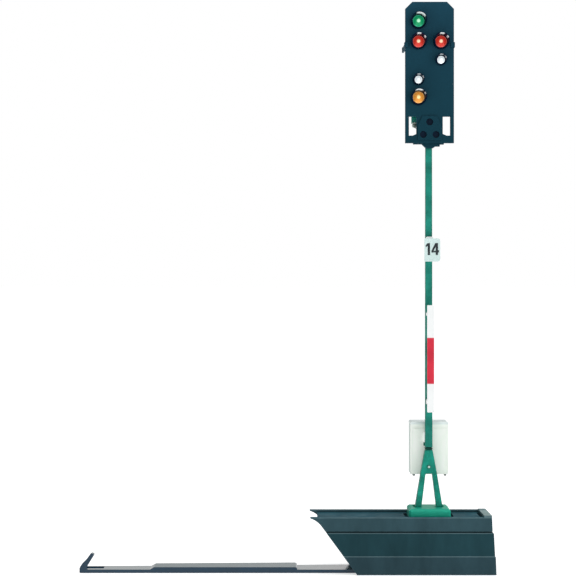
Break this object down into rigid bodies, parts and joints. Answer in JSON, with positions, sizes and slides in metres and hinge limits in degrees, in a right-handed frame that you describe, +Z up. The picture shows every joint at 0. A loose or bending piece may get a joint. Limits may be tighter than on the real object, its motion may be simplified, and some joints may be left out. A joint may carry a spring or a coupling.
{
  "type": "model signal mast",
  "caption": "Model railway colour-light signal: lamp screen on a green channel mast with spread foot, cabinet and plates, plugged into a stepped base with a track-bed clip.",
  "frame": {"origin": "on the mast's axis, at the flat underside of the base", "axes": "+Z up along the mast; the lamps face -Y; the track clip reaches out along -X"},
  "size_m": [0.0606, 0.0084, 0.0837],
  "materials": {
    "base_plastic": "satin moulded",
    "black_part": "matt",
    "board_green": "solder resist",
    "board_paint": "red and white satin paint",
    "cabinet_grey": "satin moulded",
    "clip_plastic": "glossy moulded",
    "component": "matt",
    "contact": "plated",
    "digit_ink": "printed",
    "hood_black": "semi-gloss",
    "lens_dark": "unlit",
    "lens_green": "clear tinted",
    "lens_red": "clear tinted",
    "lens_white": "clear",
    "lens_yellow": "clear tinted",
    "mast_green": "satin paint",
    "pad_green": "satin moulded",
    "roof_grey": "satin moulded",
    "screen_black": "satin moulded",
    "solder": "tinned",
    "steel": "bright",
    "white_plastic": "satin",
    "wire": "enamelled"
  },
  "bodies": {
    "base": {"base_shell": "base_plastic", "base_bottom": "base_plastic", "base_board": "board_green", "decoder_chip": "black_part", "chip_pins": "solder", "board_parts": "component", "base_socket": "black_part", "socket_springs": "contact", "bottom_screws": "steel"},
    "clip": {"track_clip": "clip_plastic"},
    "mast": {"foot_pad": "pad_green", "foot_plug": "black_part", "plug_pins": "contact", "mast_foot": "mast_green", "foot_rivet": "mast_green", "mast_collar": "mast_green", "mast": "mast_green", "mast_wires": "wire", "mast_board": "board_paint", "board_clips": "white_plastic", "number_plate": "white_plastic", "number_plate_clip": "white_plastic", "plate_digits": "digit_ink", "cabinet_body": "cabinet_grey", "cabinet_door": "cabinet_grey", "cabinet_roof": "roof_grey", "cabinet_handle": "white_plastic", "cabinet_glands": "black_part", "cabinet_bracket": "mast_green", "head_bracket": "screen_black", "screen_plate": "screen_black", "sub_panel": "screen_black", "hood_green": "hood_black", "hood_red_left": "hood_black", "hood_red_right": "hood_black", "hood_white_upper": "hood_black", "hood_white_lower": "hood_black", "hood_yellow": "hood_black", "lens_green": "lens_green", "lens_red_left": "lens_red", "lens_red_right": "lens_red", "lens_white_upper": "lens_white", "lens_white_lower": "lens_white", "lens_yellow": "lens_yellow", "sub_lens_top": "lens_dark", "sub_lens_left": "lens_dark", "sub_lens_right": "lens_dark", "led_board": "board_green", "leds": "white_plastic", "resistors": "black_part", "solder_joints": "solder", "head_wires": "wire", "rear_cover": "screen_black"}
  },
  "joints": [
    {"name": "mast_lift", "type": "slide", "parent": "base", "child": "mast", "axis": [0, 0, 1], "range_m": [0, 0.012]},
    {"name": "clip_slide", "type": "slide", "parent": "base", "child": "clip", "axis": [-1, 0, 0], "range_m": [0, 0.012]}
  ]
}
